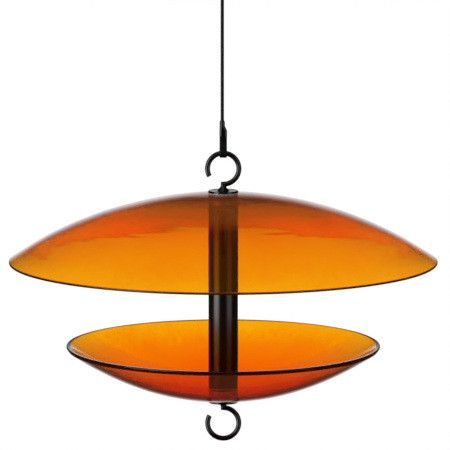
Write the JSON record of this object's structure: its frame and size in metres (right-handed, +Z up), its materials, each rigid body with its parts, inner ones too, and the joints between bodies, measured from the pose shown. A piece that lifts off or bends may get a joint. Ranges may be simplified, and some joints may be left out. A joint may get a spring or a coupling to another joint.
{
  "type": "hanging bird feeder",
  "caption": "Hanging bird feeder: a wide amber glass dome over a glass seed dish, clamped to a black tube by two ring hooks and hung from a sleeved cable.",
  "frame": {"origin": "middle of the hole in the upper cable eye, the point that the feeder hangs from", "axes": "+Z up along the cable and the tube, +X to the right in the plane of the hooks' rings and along both eyes' holes, +Y away from the viewer"},
  "size_m": [0.4064, 0.4064, 0.4632],
  "materials": {
    "amber_glass": "clear coloured glass, slumped, slightly rippled, with a polished round edge",
    "black_tube": "glossy black enamel",
    "black_wire": "satin black coating",
    "black_crimp": "satin black coating",
    "aluminium": "turned",
    "clear_vinyl": "clear soft vinyl",
    "black_vinyl": "smooth black coating"
  },
  "bodies": {
    "cable": {"hanging_cable": "black_vinyl", "upper_cable_eye": "black_vinyl", "lower_cable_eye": "black_vinyl", "upper_crimp_sleeve": "black_crimp", "lower_crimp_sleeve": "black_crimp"},
    "feeder": {"glass_dome": "amber_glass", "glass_dish": "amber_glass", "centre_tube": "black_tube", "upper_end_plug": "aluminium", "lower_end_plug": "aluminium", "upper_hook": "black_wire", "lower_hook": "black_wire", "upper_washer": "black_wire", "lower_washer": "black_wire", "upper_outer_gasket": "clear_vinyl", "upper_inner_gasket": "clear_vinyl", "lower_inner_gasket": "clear_vinyl", "lower_outer_gasket": "clear_vinyl"}
  },
  "joints": [
    {"name": "feeder_swing", "type": "hinge", "parent": "cable", "child": "feeder", "pos_m": [0, 0, -0.18208], "axis": [1, 0, 0], "range_deg": [-45, 45]}
  ]
}
